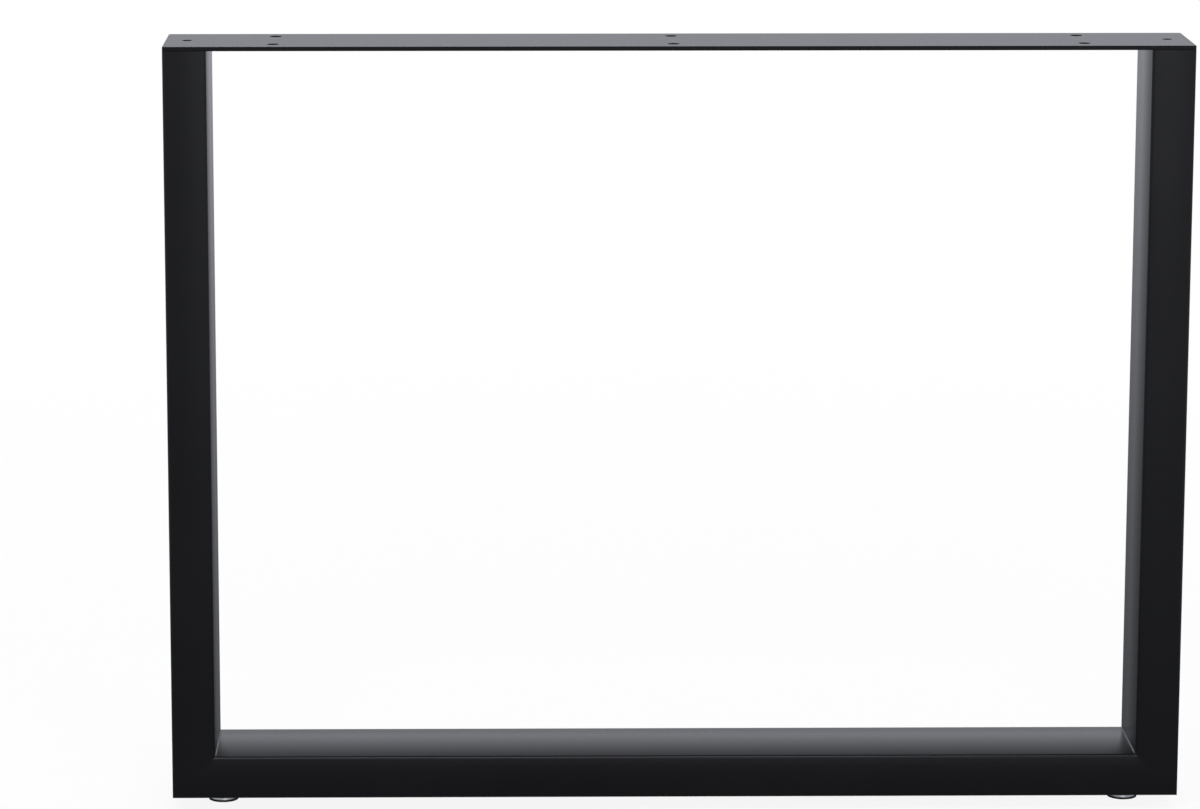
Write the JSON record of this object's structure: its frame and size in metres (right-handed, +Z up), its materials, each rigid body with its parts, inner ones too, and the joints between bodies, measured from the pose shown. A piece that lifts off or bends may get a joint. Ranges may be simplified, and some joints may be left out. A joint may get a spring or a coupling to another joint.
{
  "type": "table leg",
  "caption": "Closed rectangular table leg welded from black steel tube, with a drilled plate on top to screw under a tabletop and levelling feet below.",
  "frame": {"origin": "on the floor, under the middle of the leg", "axes": "+X along the leg's width, +Y through the tube's depth, +Z up to the plate that carries the tabletop"},
  "size_m": [0.94, 0.1, 0.72],
  "materials": {
    "powder_coat": "satin black powder coat",
    "zinc_plate": "bright zinc plate",
    "foot_sole": "matt black"
  },
  "bodies": {
    "frame": {"top_plate": "powder_coat", "bottom_runner": "powder_coat", "upright_left": "powder_coat", "upright_right": "powder_coat", "mitre_weld_left": "powder_coat", "mitre_weld_right": "powder_coat", "plate_weld_left": "powder_coat", "plate_weld_right": "powder_coat", "rivet_nut_left": "zinc_plate", "rivet_nut_right": "zinc_plate"},
    "foot_left": {"foot_base_left": "zinc_plate", "foot_pad_left": "foot_sole"},
    "foot_right": {"foot_base_right": "zinc_plate", "foot_pad_right": "foot_sole"},
    "stud_left": {"foot_stud_left": "zinc_plate"},
    "stud_right": {"foot_stud_right": "zinc_plate"}
  },
  "joints": [
    {"name": "foot_travel_left", "type": "slide", "parent": "frame", "child": "foot_left", "axis": [0, 0, -1], "range_m": [0, 0.01]},
    {"name": "stud_turn_left", "type": "hinge", "parent": "foot_left", "child": "stud_left", "pos_m": [-0.425, 0, 0], "axis": [0, 0, -1], "range_deg": [0, 2880]},
    {"name": "foot_travel_right", "type": "slide", "parent": "frame", "child": "foot_right", "axis": [0, 0, -1], "range_m": [0, 0.01]},
    {"name": "stud_turn_right", "type": "hinge", "parent": "foot_right", "child": "stud_right", "pos_m": [0.425, 0, 0], "axis": [0, 0, -1], "range_deg": [0, 2880]}
  ],
  "couplings": [
    {"joint": "foot_travel_left", "follows": "stud_turn_left", "m_per_rad": 0.00019894},
    {"joint": "foot_travel_right", "follows": "stud_turn_right", "m_per_rad": 0.00019894}
  ]
}
